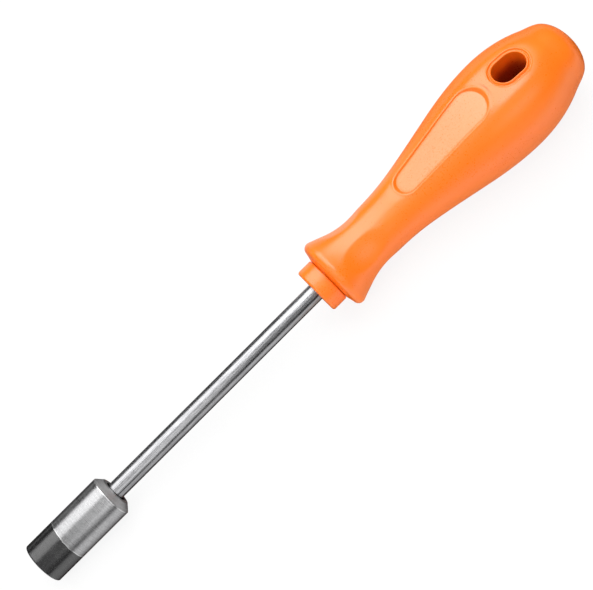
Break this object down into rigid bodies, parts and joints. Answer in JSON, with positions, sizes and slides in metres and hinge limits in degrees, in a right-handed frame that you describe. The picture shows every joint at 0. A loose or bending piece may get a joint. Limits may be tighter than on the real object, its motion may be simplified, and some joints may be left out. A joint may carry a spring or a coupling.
{
  "type": "nut driver",
  "caption": "Hand nut driver: hexagonal socket with a blackened end on a round steel shaft, moulded into an orange contoured handle with a hanging hole.",
  "frame": {"origin": "centre of the socket's mouth, on the tool's axis", "axes": "+X along the tool from the socket to the handle, +Z out of the label face, along the hanging hole"},
  "size_m": [0.2412, 0.035, 0.0338],
  "materials": {
    "handle_plastic": "satin moulded",
    "collar_plastic": "satin moulded",
    "bright_steel": "bright drawn",
    "socket_steel": "satin turned, black oxide at the mouth"
  },
  "bodies": {
    "root": {"handle_body": "handle_plastic", "handle_core": "collar_plastic", "shaft": "bright_steel", "socket": "socket_steel"}
  },
  "joints": []
}
